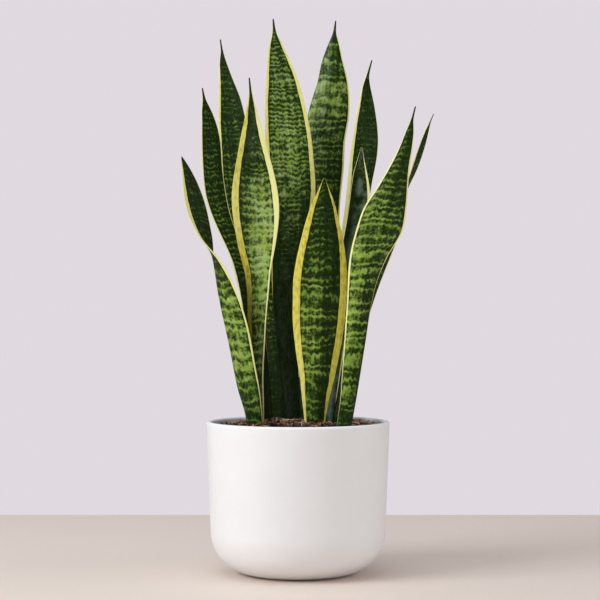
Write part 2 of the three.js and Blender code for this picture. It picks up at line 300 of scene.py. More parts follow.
outer_corner = (foot_radius, POT_CORNER_RADIUS)
lip_height = pot_height - POT_LIP_RADIUS
outer_lip = (rim_radius - POT_LIP_RADIUS, lip_height)
inner_lip = (rim_radius - POT_WALL + POT_LIP_RADIUS, lip_height)
inside_corner = (POT_CORNER_RADIUS - POT_WALL, POT_CORNER_RADIUS - POT_FLOOR)
pot_profile = np.concatenate([
    line((0, 0), (foot_radius, 0), 8),
    arc(outer_corner, POT_CORNER_RADIUS, POT_CORNER_RADIUS, -90, 0, 36),
    line((wall_foot_radius, POT_CORNER_RADIUS), (rim_radius, lip_height), 14),
    arc(outer_lip, POT_LIP_RADIUS, POT_LIP_RADIUS, 0, 90, 9),
    arc(inner_lip, POT_LIP_RADIUS, POT_LIP_RADIUS, 90, 180, 9),
    line((rim_radius - POT_WALL, lip_height), (wall_foot_radius - POT_WALL, POT_CORNER_RADIUS), 10),
    arc(outer_corner, *inside_corner, 0, -90, 20),
    line((foot_radius, POT_FLOOR), (0, POT_FLOOR), 4),
])
print("pot", round(2000 * rim_radius), "mm wide and", round(1000 * pot_height), "mm high")

# %% [markdown]
# The glaze is white with the faintest warm mottle. Held close it isn't flat: it has a fine
# orange-peel texture, and long soft waves from the mould. Under the foot the glaze was wiped off,
# so the bare clay shows: rougher, warmer and a little darker. Inside, a grey painted shade darkens
# the upper wall and fades out towards the lip. All of this depends only on the place on the pot,
# so Object coordinates are enough, and the pot needs no painted texture.

# %% The glaze, the bare foot and the painted shade inside
BARE_UP_TO = (0.2 * MM, 1.2 * MM)
GLAZE_WAVES = (30, 30, 30)
GLAZE_PEEL = (900, 900, 900)
# Where the painted shade inside the pot lies: its inset from the rim, its depth below the lip, and
# the height where it starts.
PAINTED_SHADE_INSETS = (4.2 * MM, 2.5 * MM)
PAINTED_SHADE_DEPTHS = (16 * MM, 1 * MM)
PAINTED_SHADE_STARTS = (0.6 * pot_height, 0.7 * pot_height)


def glaze_finish():
    """Glaze, mixed with bare clay by the height z, and with a painted shade inside by three soft
    steps: of the squared distance to the axis, x^2 + y^2, of the depth below the rim, and of the
    height."""
    glaze = Finish("matt white glaze", IOR=1.5)
    x, y, z = glaze.place()
    mottle = glaze.solid_noise(GLAZE_WAVES)
    peel = glaze.solid_noise(GLAZE_PEEL)
    bare = 1 - glaze.rise(z, *BARE_UP_TO)
    # Painted shade: a grey that darkens the upper inner wall and fades out towards the lip.
    inside = 1 - glaze.rise(x * x + y * y, *[(rim_radius - inset) ** 2 for inset in PAINTED_SHADE_INSETS])
    below_lip = 1 - glaze.rise(z, *[pot_height - depth for depth in PAINTED_SHADE_DEPTHS])
    painted_shade = inside * below_lip * glaze.rise(z, *PAINTED_SHADE_STARTS)
    white = glaze.blend(mottle, shade(236, 234, 232), shade(241, 239, 238))
    white_with_painted_shade = glaze.blend(painted_shade, white, shade(88, 84, 70))
    clay = glaze.blend(peel, shade(196, 182, 164), shade(222, 210, 194))
    glaze.surface("Base Color", glaze.blend(bare, white_with_painted_shade, clay))
    glaze.surface("Roughness", 0.42 + 0.12 * mottle + 0.4 * bare)
    glaze.relief(mottle + 0.03 * peel, 0.25 * MM)
    return glaze.material


pot = add_tubes("pot", turned(pot_profile, POT_COLUMNS), glaze_finish())
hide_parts("ceramic_pot")

# %% [markdown]
# ## Reading the leaves' shape
#
# Each CAD leaf is a stack of level rings with ten corners, and its two end rings hold their middle
# point as well. In a ring the corners lie in five pairs, one on the front and one on the back,
# from the left margin to the right one. The middle of each pair is on the blade's own middle
# surface, so five tracks run up the leaf, and a smooth curve through each gives the fine shape.
# Going back to the rings like this keeps the fine leaf exactly where the CAD leaf is, twist and
# all.

# %% Rings of a CAD leaf
# Where the five tracks lie across the blade, from the left margin at -1 to the right one at 1.
ACROSS = np.array([-1, -0.618, 0, 0.618, 1])
RING_CORNERS = 2 * len(ACROSS)
LEVEL_GAP = 0.02 * MM
TOO_NARROW = 3 * MM


def cad_rings(node):
    """A CAD node's corners, each once, in level rings from the lowest to the highest."""
    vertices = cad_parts[node].data.vertices
    points = np.empty(3 * len(vertices))
    vertices.foreach_get("co", points)
    points = np.unique(points.reshape(-1, 3).round(6), axis=0)
    points = points[np.argsort(points[:, 2])]
    return np.split(points, np.nonzero(np.diff(points[:, 2]) > LEVEL_GAP)[0] + 1)


def read_leaf(node):
    """Heights of the rings, the five tracks of the middle surface, and the half thickness.

    A ring's heading is the direction in which it is widest. It never turns back on the ring
    below. A ring that is too narrow to show a heading takes over the last one, unless it is an
    end ring, which has more than RING_CORNERS points."""
    heading = np.array([1.0, 0.0])
    heights, tracks, thickness = [], [], []
    for ring in cad_rings(node):
        flat = ring[:, :2] - ring[:, :2].mean(0)
        widest = np.linalg.svd(flat, full_matrices=False)[2][0]
        if len(ring) > RING_CORNERS or np.ptp(flat @ widest) > TOO_NARROW:
            heading = widest * np.sign(widest @ heading)
        order = ring[np.argsort(flat @ heading), :2]
        groups = [order[:2], order[2:4], order[4:-4], order[-4:-2], order[-2:]]
        heights.append(ring[:, 2].mean())
        tracks.append([group.mean(0) for group in groups])
        thickness.append(np.ptp(groups[2] @ [heading[1], -heading[0]]) / 2)
    return np.array(heights), np.array(tracks), np.array(thickness)


def smooth_through(knots, values, at):
    """The natural cubic spline through (knots, values): its second derivatives solve one linear
    system, and each stretch is then a cubic of the distance to its two knots."""
    values = values.reshape(len(knots), -1)
    step = np.diff(knots)
    slope = np.diff(values, axis=0) / step[:, None]
    system = np.diag(np.r_[1, 2 * (step[:-1] + step[1:]), 1])
    system += np.diag(np.r_[step[:-1], 0], -1) + np.diag(np.r_[0, step[1:]], 1)
    bend = np.zeros_like(values)
    bend[1:-1] = 6 * np.diff(slope, axis=0)
    bend = np.linalg.solve(system, bend)
    i = np.clip(np.searchsorted(knots, at) - 1, 0, len(step) - 1)
    near = (at - knots[i])[:, None]
    far = (knots[i + 1] - at)[:, None]
    gap = step[i, None]
    cubic = (bend[i] * far**3 + bend[i + 1] * near**3) / (6 * gap)
    straight = (values[i] / gap - bend[i] * gap / 6) * far
    straight += (values[i + 1] / gap - bend[i + 1] * gap / 6) * near
    return cubic + straight


leaf_shapes = {node: read_leaf(node) for node in LEAVES}
for node, (heights, tracks, thickness) in leaf_shapes.items():
    width = np.linalg.norm(tracks[:, -1] - tracks[:, 0], axis=1).max() / MM
    thick = 2 * thickness.max() / MM
    print(f"{node}: {len(heights)} rings, {width:.0f} mm wide, {thick:.1f} mm thick")

# %% [markdown]
# ## The blades
#
# A fine blade is one surface of two parameters: how far up the leaf, and how far round its thin
# section. Going round, the point crosses the front from the left margin to the right one and
# comes back behind. The section is full near the midrib and rounds off at the margins. Real
# margins aren't dead straight either: they wave by a fraction of a millimetre, out of step with
# each other.
#
# The finish needs to know where it is on the blade, so the mesh carries a few numbers: the
# distance across and along in millimetres, the number of dark bands below a point, how far
# inside the yellow margin it lies, how light or mottled the leaf is there with its painted shade
# and light, and how much grey painted sheen it has.

# %% What differs from leaf to leaf
# Each list runs from the foot of the leaf to its tip, and its values are evenly spaced.
# left, right: width of the yellow margin in mm, where -0.4 leaves none at all. bands: mm from
# one dark band to the next. light: 0 is nearly all dark green and 1 is pale green with thin dark
# lines. Below 0 at the feet it is painted shade, for feet that stand in deep shade. mottle: 0 is
# whole bands and 1 is bands broken into blotches. gold: 0 is pale cream, 1 golden yellow, and 2
# the olive of painted shade deep in the plant, with one list for the left margin and one for the
# right. tip: 1 is a dry dark spike, and 0 is none.
# The last two run from the left margin to the right one instead. The first is painted light and
# shade from the way the blade faces the lamps, added to light. The second is how much grey
# painted sheen lies on the light green, where above 1 its patches grow together.
LEAF_LOOKS = {
    "leaf_far_left_twisted": dict(
        left=(0.1, 0.3, 0.6, 0.8, 0.7, 0.7, 0.4), right=(-0.2, 0.9, 1.8, 1.8, 4.2, 4.4, 0.8),
        bands=(9, 11, 13, 12, 8, 7, 7), light=(0.0, 0.35, 0.65, 0.75, 0.1, 0.0, -0.1),
        mottle=0.8, gold_and_shade=((0.0,), (0.0, 0.0, 0.2, 0.3)), tip=0.9,
        painted_shading_across=(0.0,), painted_sheen=(0.1,)),
    "leaf_left_outer": dict(
        left=(-0.4, -0.2, 0.4, 0.8, 1.0, 1.0, 0.6), right=(-0.4, -0.2, 0.4, 0.8, 0.8, 0.6, 0.5),
        bands=(7, 7, 6), light=(-0.9, -0.8, -0.5, 0.2, 0.25, 0.1, 0.0),
        mottle=0.9, gold_and_shade=((0.0,), (0.0,)), tip=1.0,
        painted_shading_across=(0.1, 0.0, -0.1), painted_sheen=(0.0,)),
    "leaf_left_tall": dict(
        left=(-0.4, -0.2, 1.2, 2.2, 2.6, 2.6, 0.8), right=(-0.2, 0.1, 0.2),
        bands=(7, 7, 6), light=(-0.3, -0.2, 0.3, 0.35, 0.15, 0.0, -0.1),
        mottle=0.9, gold_and_shade=((0.3,), (0.1,)), tip=1.0,
        painted_shading_across=(0.1, 0.0, -0.1), painted_sheen=(0.0, 0.0, 0.1)),
    "leaf_front_left": dict(
        left=(0.1, 1.2, 4.4, 6.6, 7.4, 5.2, 0.8), right=(0.3, 0.6, 1.0, 1.6, 6.6, 5.0, 0.8),
        bands=(11, 11, 11, 10, 8, 6, 6), light=(0.1, 0.4, 0.75, 0.95, 0.75, 0.0, -0.5),
        mottle=0.9, gold_and_shade=((2.0, 2.0, 1.6, 0.6, 0.7, 0.9), (0.1, 0.0, 0.0, 0.0, 0.2)), tip=1.0,
        painted_shading_across=(-0.5, -0.3, 0.05, 0.1, 0.05), painted_sheen=(0.1, 0.3, 0.5, 0.4, 0.6)),
    "leaf_centre_tallest": dict(
        left=(-0.4, -0.4, -0.2, 2.6, 4.6, 3.2, 0.8), right=(-0.4, -0.3, 1.8, 5.0, 4.6, 3.8, 0.8),
        bands=(8, 7, 6, 6, 6, 5, 5), light=(-0.9, -0.8, -0.6, 0.0, 0.6, 0.5, 0.3),
        mottle=0.9, gold_and_shade=((2.0, 1.0, 0.6, 0.4, 0.4), (2.0, 1.0, 0.6, 0.4, 0.4)), tip=1.0,
        painted_shading_across=(-0.1, 0.1, 0.15, 0.0, -0.1), painted_sheen=(0.1, 0.4, 0.4, 0.2, 0.1)),
    "leaf_back_right_tall": dict(
        left=(-0.4, -0.3, 0.1), right=(-0.4, -0.3, 0.8, 1.4, 2.0, 1.4, 0.6),
        bands=(8, 7, 6, 7, 8, 13, 22), light=(-0.5, -0.4, -0.1, 0.2, 0.4, 0.65, 0.25),
        mottle=0.8, gold_and_shade=((0.3,), (2.0, 1.0, 0.3, 0.3)), tip=1.0,
        painted_shading_across=(0.2, 0.1, 0.0, -0.1, -0.2), painted_sheen=(1.0, 0.9, 0.5, 0.1, 0.0)),
    "leaf_front_centre": dict(
        left=(2.4, 4.8, 7.4, 8.4, 8.2, 6.6, 0.8), right=(1.6, 4.4, 7.6, 8.2, 7.4, 4.0, 0.8),
        bands=(8, 10, 11, 11, 9, 7, 6), light=(0.0, 0.3, 0.5, 0.5, 0.3, 0.05, 0.0),
        mottle=0.6, gold_and_shade=((0.5, 0.9, 1.0), (1.0,)), tip=0.0,
        painted_shading_across=(0.1, 0.15, 0.1, -0.3, -0.2), painted_sheen=(0.0,)),
    "leaf_right_back": dict(
        left=(-0.4, 0.1, 2.5, 4.4, 4.4, 2.6, 0.8), right=(-0.4, -0.2, 0.1, 0.2),
        bands=(7, 7, 6), light=(-0.3, -0.2, 0.0, 0.05, 0.1, 0.05, -0.1),
        mottle=0.9, gold_and_shade=((0.0,), (0.2,)), tip=1.0,
        painted_shading_across=(0.0,), painted_sheen=(0.3,)),
    "leaf_right_inner": dict(
        left=(-0.4, 0.1, 0.4), right=(-0.4, 0.2, 1.6, 3.2, 3.6, 3.0, 0.8),
        bands=(8, 7, 6), light=(-0.4, -0.3, -0.1, 0.0, 0.0),
        mottle=0.7, gold_and_shade=((0.2,), (0.0,)), tip=0.0,
        painted_shading_across=(-0.2, -0.2, 0.0, 0.2, 0.0), painted_sheen=(0.0, 0.6, 3.6, 3.2, 1.4)),
    "leaf_front_right": dict(
        left=(0.6, 1.2, 1.8, 2.2, 2.0, 1.6, 0.6), right=(-0.2, -0.1, 0.1, 0.3, 1.4, 1.2, 0.5),
        bands=(9, 11, 11, 10, 9, 7, 5), light=(-0.1, 0.35, 0.65, 0.65, 0.6, 0.25, 0.05),
        mottle=0.65, gold_and_shade=((0.0,), (0.0,)), tip=1.0,
        painted_shading_across=(0.1, 0.1, 0.0, -0.1, -0.2), painted_sheen=(0.0, 0.0, 0.3)),
    "leaf_far_right": dict(
        left=(-0.4, -0.2, 0.5, 1.4, 2.4, 2.2, 0.8), right=(-0.4, -0.2, 0.6, 1.4, 1.6, 0.8),
        bands=(8, 7, 6), light=(-0.2, 0.0, 0.1, 0.1, 0.0),
        mottle=0.9, gold_and_shade=((0.0,), (0.0,)), tip=1.0,
        painted_shading_across=(0.0,), painted_sheen=(0.1,)),
}
print(len(LEAF_LOOKS), "leaves described")

# %% A blade's fine surface
# A fullness of 1 makes the section an ellipse, and less makes it a little fuller.
BLADE_ROWS = 260
BLADE_COLUMNS = 56
SECTION_FULLNESS = 0.95
WAVE_SIZE = 0.7 * MM
WAVE_SPACING = 26 * MM
CALM_BELOW = 14 * MM


def spread(values, share):
    """Values at evenly spaced places from 0 to 1, joined by straight lines."""
    return np.interp(share, np.linspace(0, 1, len(values)), values)


def wander(random, length, spacing, at):
    """A smooth random line between about -1 and 1, with a new value every so often."""
    knots = np.linspace(0, length, max(4, int(length / spacing)))
    return smooth_through(knots, random.uniform(-1, 1, len(knots)), at)[:, 0]


def middle_surface(track, u):
    """The points m(u, height) of the middle surface, and their derivative by u.

    Across the blade m is the polynomial in u that passes the five tracks at u = ACROSS."""
    powers = np.arange(len(ACROSS))
    weights = np.linalg.inv(ACROSS[:, None] ** powers)
    slopes = powers * u[:, None] ** np.maximum(powers - 1, 0)
    middle = np.einsum("up,pk,rkc->ruc", u[:, None] ** powers, weights, track)
    along_u = np.einsum("up,pk,rkc->ruc", slopes, weights, track)
    return middle, along_u


def blade(node, seed):
    """The blade's points, its u, its half width at each height, and its spine.

    With u across from -1 to 1, a point is m(u, height) + n * (h * s + w), where n is level and
    square to m, h is the half thickness, s is the section's roundness, which is sin(turn) to a
    power just below 1, and w is the margins' wave. The wave grows as |u|^3, and it calms down
    where the blade is narrow."""
    heights, tracks, thickness = leaf_shapes[node]
    random = np.random.default_rng(seed)
    height = np.linspace(0, 1, BLADE_ROWS) * (heights[-1] - heights[0]) + heights[0]
    track = smooth_through(heights, tracks, height).reshape(BLADE_ROWS, len(ACROSS), 2)
    half = smooth_through(heights, thickness, height)

    turn = np.linspace(0, 2 * np.pi, BLADE_COLUMNS, endpoint=False)
    u = -np.cos(turn)
    roundness = np.sign(np.sin(turn)) * np.abs(np.sin(turn)) ** SECTION_FULLNESS
    middle, along_u = middle_surface(track, u)
    reach = np.linalg.norm(along_u, axis=-1)
    level_normal = np.stack([along_u[..., 1], -along_u[..., 0]], -1) / reach[..., None]

    rise = height - height[0]
    left_wave = wander(random, rise[-1], WAVE_SPACING, rise)[:, None] * (u < 0)
    right_wave = wander(random, rise[-1], WAVE_SPACING, rise)[:, None] * (u >= 0)
    half_width = reach.mean(1)
    calm = np.clip(half_width / CALM_BELOW, 0, 1)[:, None]
    wave = WAVE_SIZE * calm * np.abs(u) ** 3 * (left_wave + right_wave)
    flat = middle + level_normal * (half * roundness + wave)[..., None]
    up = np.broadcast_to(height[:, None, None], (*flat.shape[:2], 1))
    return np.concatenate([flat, up], -1), u, half_width, np.c_[track[:, 2], height]


print(BLADE_ROWS * BLADE_COLUMNS, "points on each blade")

# %% The numbers that a blade carries for its finish
TIP_LENGTH = 14 * MM
ZIGZAG_HEIGHT = 7
MARGIN_NARROWS_BELOW = 9 * MM
LEAST_MARGIN_SHARE = 0.1
FRINGE_SHARE = 0.2
FRINGE_LIMITS = (0.03, 0.6)
SEED_STEP = 3.7


def blade_fields(look, seed, u, half_width, spine):
    """One row for each height, one column for each u, or a single number. Lengths are in mm.

    The bands' number is the sum of each step up the spine over the spacing of the bands there.
    A point is inside the margin by its distance to the blade's edge less the margin's width."""
    share = np.linspace(0, 1, len(spine))
    steps = np.linalg.norm(np.diff(spine, axis=0), axis=1)
    along = np.r_[0, np.cumsum(steps)][:, None]
    spacing = spread(look["bands"], share)
    bands = np.r_[0, np.cumsum(steps / (spacing[1:] * MM))]
    narrowing = np.clip(half_width / MARGIN_NARROWS_BELOW, LEAST_MARGIN_SHARE, 1)
    left = (spread(look["left"], share) * MM * narrowing)[:, None]
    right = (spread(look["right"], share) * MM * narrowing)[:, None]
    left_inside = (1 + u) * half_width[:, None] - left
    right_inside = (1 - u) * half_width[:, None] - right
    left_gold_and_shade, right_gold_and_shade = (spread(values, share)[:, None] for values in look["gold_and_shade"])
    to_tip = (along[-1] - along) / TIP_LENGTH
    # Below 0 at the feet, light is painted shade, and the painted light and shade across the blade
    # is added to it. The margins' olive end is painted shade, and the grey patches are painted
    # sheen.
    return {
        "across": u * half_width[:, None] / MM,
        "along": along / MM,
        "bands": bands[:, None],
        "zigzag": ZIGZAG_HEIGHT / spacing[:, None],
        "inside": np.minimum(left_inside, right_inside) / MM,
        "fringe": np.clip(FRINGE_SHARE * np.where(u < 0, left, right) / MM, *FRINGE_LIMITS),
        "light": spread(look["light"], share)[:, None] + spread(look["painted_shading_across"], (u + 1) / 2),
        "gold_and_shade": np.where(u < 0, left_gold_and_shade, right_gold_and_shade),
        "dry": np.clip(1 - to_tip, 0, 1) * look["tip"],
        "mottle": look["mottle"],
        "painted_sheen": spread(look["painted_sheen"], (u + 1) / 2),
        "seed": SEED_STEP * seed,
    }


print("zigzags are", ZIGZAG_HEIGHT, "mm high, and a dry tip", round(TIP_LENGTH / MM), "mm long")

# %% [markdown]
# ## The leaf's finish
#
# A snake plant's bands are dark, level and ragged, with teeth that follow the veins. They could
# be noise that is stretched across the blade, but then their spacing can't be set. So the blade
# carries its height counted in bands, and a sine of that gives one band for each whole number.
# Noise pushes the height up and down first. Where that noise is narrow across the blade and long
# along it, it draws the bands out into teeth. Blotches and streaks are then added to the sine,
# which breaks the bands up, as on the older leaves.
#
# The sum is a depth, and dark green shows where it is large. How light the leaf is gets taken
# off the depth, so a light leaf keeps only thin dark lines, and on a dark leaf the bands run
# together. That lightness also carries painted shade on the feet and painted light and shade
# across the blade, and patches of grey painted sheen lie on the green. The yellow margin has a
# finely ragged edge with a darker rim beside it. It ages to ochre in smears, deep down in the
# plant it is painted olive for the shade there, and the tip of the leaf dries to a brown spike.
# The skin is waxy: satin, with fine grooves along the veins.

# %% The leaf's colours and its waxy skin


def leaf_finish():
    """Noise is read at (across, along, seed), and factors of the first two are features per mm.

    level = bands + zigzags + sway, depth = sine(level) + blotches + streaks + rim - light, and
    the colour is a soft step of the depth, from the lit green to the dark one."""
    leaf = Finish("banded leaf", IOR=1.42, Specular_IOR_Level=0.1)
    across, along, seed, inside = map(leaf.field, ("across", "along", "seed", "inside"))
    light, mottle, painted_sheen = map(leaf.field, ("light", "mottle", "painted_sheen"))

    scallop = abs(leaf.noise(across * 0.2, along * 0.04, seed, detail=0.0) - 0.5)
    teeth = leaf.noise(across * 0.7, along * 0.08, seed + 5.5, detail=2.0)
    sway = leaf.noise(across * 0.06, along * 0.03, seed + 9.1, detail=1.0)
    uneven = leaf.noise(0.0, along * 0.05, seed + 2.9, detail=1.0)
    zigzag = leaf.field("zigzag") * (1.3 * scallop + 0.5 * teeth)
    level = leaf.field("bands") + zigzag + 1.5 * sway + 2.5 * uneven

    streak = leaf.noise(across * 0.9, along * 0.2, seed + 2.2, detail=3.0, roughness=0.65)
    blotch = leaf.noise(across * 0.34, along * 0.34, seed + 4.3, detail=3.0, roughness=0.7)
    torn = leaf.noise(across * 0.08, level * 0.9, seed + 8.8, detail=1.0)
    ridge = leaf.noise(across * 0.3, along * 0.006, seed + 12.4, detail=1.0)
    bands = 0.34 * level.wave() + 0.1 * (level * 2 + 0.2).wave() + 1.0 * (torn - 0.5)
    broken = (1.2 + 2.4 * mottle) * (blotch - 0.5) + 1.4 * (streak - 0.5) + 1.2 * (ridge - 0.5)
    rim = 1 - leaf.rise(inside, 0.0, 3.0)
    # The light taken off here carries painted shade at the feet and painted light and shade across
    # the blade.
    depth = bands + broken + 0.3 * rim - 1.0 * (light - 0.5)

    cloud = leaf.noise(across * 0.12, along * 0.07, seed + 6.6, detail=2.0)
    # Painted sheen: grey, paler patches on the light and the dark green stand in for the lamps'
    # reflections on the waxy skin.
    sheen = painted_sheen * leaf.rise(cloud + 0.3 * streak, 0.5, 0.8)
    pale = leaf.blend(sheen, shade(156, 182, 78), shade(164, 182, 132))
    lit = 0.8 * streak + 1.1 * cloud + 1.2 * (blotch - 0.5) + 0.6 * light - 0.6 * depth
    green = leaf.blend(leaf.rise(lit, 0.8, 2.3), shade(58, 88, 20), pale)
    night = leaf.blend(leaf.rise(streak, 0.35, 0.7), shade(12, 26, 0), shade(34, 54, 12))
    night = leaf.blend(0.35 * sheen, night, shade(92, 108, 90))
    blade_colour = leaf.blend(leaf.rise(depth, -0.5, 0.45), green, night)

    ripple = 2 * leaf.noise(across * 0.5, along * 0.12, seed + 1.3) - 1
    margin = 1 - leaf.rise(inside + leaf.field("fringe") * ripple, -0.15, 0.25)
    coloured = leaf.blend(margin, blade_colour, margin_colour(leaf, across, along, seed))
    with_tip = leaf.blend(leaf.field("dry"), coloured, shade(34, 30, 18))
    leaf.surface("Base Color", with_tip)
    leaf.surface("Roughness", 0.36 + 0.16 * cloud + 0.08 * margin)

    grooves = leaf.noise(across * 1.6, along * 0.02, seed + 3.3, detail=2.0)
    pores = leaf.noise(across * 4.0, along * 4.0, seed)
    leaf.relief(grooves + 0.15 * pores, 0.22 * MM)
    return leaf.material


def margin_colour(leaf, across, along, seed):
    """Cream at gold = 0, golden with ochre smears at 1, and at 2 the olive of painted shade deep in
    the plant.
    """
    gold_and_shade = leaf.field("gold_and_shade")
    smear = leaf.noise(across * 0.4, along * 0.14, seed + 7.7, detail=3.0, roughness=0.6)
    cream = leaf.blend(gold_and_shade, shade(238, 234, 156), shade(214, 202, 80))
    worn = leaf.blend(0.9 * leaf.rise(smear, 0.42, 0.72) * gold_and_shade, cream, shade(162, 146, 36))
    # Painted shade: above gold 1 the margin turns olive, deep in the plant.
    return leaf.blend(gold_and_shade - 1, worn, shade(74, 84, 30))


leaf_material = leaf_finish()
for seed, node in enumerate(LEAVES, start=1):
    points, *measures = blade(node, seed)
    fields = blade_fields(LEAF_LOOKS[node], seed, *measures)
    name = node.replace("leaf_", "blade_")
    piece = add_tubes(name, points[None], leaf_material, fields)
    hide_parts(node)

# %% [markdown]
# ## The mulch
#
# On the soil lies a loose mulch: reddish brown bark chips of all sizes, crumbs between them, and
# pale coir fibres curling over the top. One bumpy mound makes the ground, and each loose piece is
# real geometry on it, because its broken outline shows against the white rim. A chip could be a
# scanned one, copied about, but then copies would show. Here each one is a closed tube with a
# few ragged rings of its own, which has so few faces that thousands of them stay cheap.

# %% The mound
# The CAD mulch is the most that the pot holds. It has settled since, by EDGE_SETTLED everywhere
# and by CREST_SETTLED more in the middle. The bumpy bed lies BED_DEPTH under the chips' ground.
MULCH_SEED = 11
MULCH_THICKNESS = 5 * MM
CREST_SETTLED = 3.2 * MM
EDGE_SETTLED = 1 * MM
MOUND_REACH = 74 * MM
MOUND_PUSH = 6 * MM
LUMP_COUNT = 14
LUMP_LENGTHS_MM = (5, 19)
LUMP_SUM = 5
LUMP_HEIGHT = 1.1 * MM
BED_DEPTH = 1.8 * MM
MULCH_ROWS = 64
MULCH_COLUMNS = 220
INNERMOST_RING = 0.8 * MM
TINY = 1e-9

mulch_low, mulch_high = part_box("bark_mulch")
mulch_radius = mulch_high.x
mulch_edge = mulch_low.z + MULCH_THICKNESS
mulch_crest = mulch_high.z - CREST_SETTLED
random = np.random.default_rng(MULCH_SEED)


def mound(x, y):
    """Height of the mulch: nearly level, falling away near the wall as 1 / (1 + (r / d)^8). It was
    pushed towards +X, so the distance d at which it falls grows with x / r."""
    radius = np.hypot(x, y) + TINY
    drop = MOUND_REACH + MOUND_PUSH * x / radius
    fallen = 1 / (1 + (radius / drop) ** 8)
    return mulch_edge - EDGE_SETTLED + (mulch_crest - mulch_edge) * fallen


def lumps(x, y):
    """Soft lumps: sine waves in several directions, added up and divided by LUMP_SUM, which
    brings them mostly between -1 and 1."""
    angles = random.uniform(0, np.pi, LUMP_COUNT)
    lengths = random.uniform(*LUMP_LENGTHS_MM, LUMP_COUNT) * MM
    phases = random.uniform(0, 2 * np.pi, LUMP_COUNT)
    across = x[..., None] * np.cos(angles) + y[..., None] * np.sin(angles)
    return np.sin(2 * np.pi * across / lengths + phases).sum(-1) / LUMP_SUM


top_radii = np.linspace(mulch_radius, INNERMOST_RING, MULCH_ROWS)
mulch_profile = np.concatenate([
    line((0, mulch_low.z), (mulch_radius, mulch_low.z), 4),
    np.stack([top_radii, np.full_like(top_radii, mulch_edge)], -1),
])
mulch_grid = turned(mulch_profile, MULCH_COLUMNS)
mulch_top = mulch_grid[:, -MULCH_ROWS:]
mulch_x, mulch_y = mulch_top[..., 0], mulch_top[..., 1]
mulch_top[..., 2] = mound(mulch_x, mulch_y) + LUMP_HEIGHT * lumps(mulch_x, mulch_y) - BED_DEPTH
print("mulch", round(2000 * mulch_radius), "mm across")

# %% [markdown]
# Bark is dark red-brown inside and paler where it has weathered, with a fibrous grain. Each chip
# carries its own tint, so no two look alike, and only the ones with a high tint are weathered.
# Soil is nearly black-brown: partly its own colour, and partly painted shade in the gaps between
# the chips. Coir is a pale straw colour, and has the same kind of finish.

# %% Finishes of bark, soil, fibre and the buried stem
BARK_GRAIN = (500, 1400, 900)
CLODS = (260, 260, 260)


def bark_finish(name, dark, mid, pale, roughness):
    """Dark, mid and pale by two soft steps of tint + grain."""
    bark = Finish(name, Roughness=roughness)
    tint = bark.field("tint")
    grain = bark.solid_noise(BARK_GRAIN, detail=3.0)
    mixed = bark.blend(bark.rise(tint + 0.5 * grain, 0.55, 1.2), dark, mid)
    weathered = bark.rise(tint + 0.4 * grain, 1.12, 1.32)
    bark.surface("Base Color", bark.blend(weathered, mixed, pale))
    bark.relief(grain, 0.5 * MM)
    return bark.material


def earth_finish(name, dark, pale):
    """Dark to pale by rough noise, which also raises the clods."""
    earth = Finish(name, Roughness=0.95)
    clods = earth.solid_noise(CLODS, detail=4.0, roughness=0.7)
    earth.surface("Base Color", earth.blend(clods, dark, pale))
    earth.relief(clods, 1.2 * MM)
    return earth.material


bark_material = bark_finish(
    "bark chips", shade(20, 12, 7), shade(126, 76, 46), shade(228, 188, 152), 0.85)
fibre_material = bark_finish(
    "coir fibre", shade(150, 98, 66), shade(222, 178, 142), shade(244, 220, 196), 0.7)
# Partly painted shade: the soil is dark, and its near-black also stands in for the shade in the
# gaps between the chips.
soil_and_gap_shade_material = earth_finish("dark soil with painted gap shade", shade(16, 10, 7), shade(44, 28, 20))
stem_material = earth_finish("rhizome skin", shade(150, 112, 66), shade(206, 170, 118))
print("bark, fibre, soil and stem have their finishes")

# %% The mound and the pieces that stay as the CAD made them
bed = add_tubes("mulch_bed", mulch_grid, soil_and_gap_shade_material)
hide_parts("bark_mulch")
for node, material in (("potting_soil", soil_and_gap_shade_material), ("rhizome", stem_material)):
    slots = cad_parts[node].data.materials
    slots.clear()
    slots.append(material)
print("soil and rhizome keep their CAD meshes")

# %% [markdown]
# The loose pieces are scattered at random, and a place is dropped when it is too near a leaf. A
# particle system could scatter them too, but worked out here they come out the same each time.

# %% Where loose pieces may lie
leaf_feet = []
for node in LEAVES:
    heights, tracks, thickness = leaf_shapes[node]
    foot = smooth_through(heights, tracks, np.array([mulch_high.z]))
    leaf_feet.append(foot.reshape(len(ACROSS), 2))
leaf_feet = np.concatenate(leaf_feet)


def free_places(count, to_wall, to_leaf):
    """At most count random places (x, y) on the mulch, clear of the wall and of the tracks of
    the leaves by these gaps. Three times as many are tried, at a radius that is the square root
    of an even random number, which spreads them evenly over the disc."""
    radius = (mulch_radius - to_wall) * np.sqrt(random.uniform(0, 1, 3 * count))
    angle = random.uniform(0, 2 * np.pi, 3 * count)
    places = np.stack([radius * np.cos(angle), radius * np.sin(angle)], -1)
    gaps = np.linalg.norm(places[:, None] - leaf_feet[None], axis=-1).min(1)
    return places[gaps > to_leaf][:count]


print(len(leaf_feet), "points keep the leaves' feet clear")

# %% A ragged lump, many times over
END_RING = 0.98
RING_SLIP = 0.12
GRADING = 3.0


def turning(angle, axis):
    """Rotation matrices about one axis, one for each angle."""
    matrix = np.zeros((len(angle), 3, 3))
    first, second = (axis + 1) % 3, (axis + 2) % 3
    matrix[:, axis, axis] = 1
    matrix[:, first, first] = matrix[:, second, second] = np.cos(angle)
    matrix[:, second, first] = np.sin(angle)
    matrix[:, first, second] = -np.sin(angle)
    return matrix


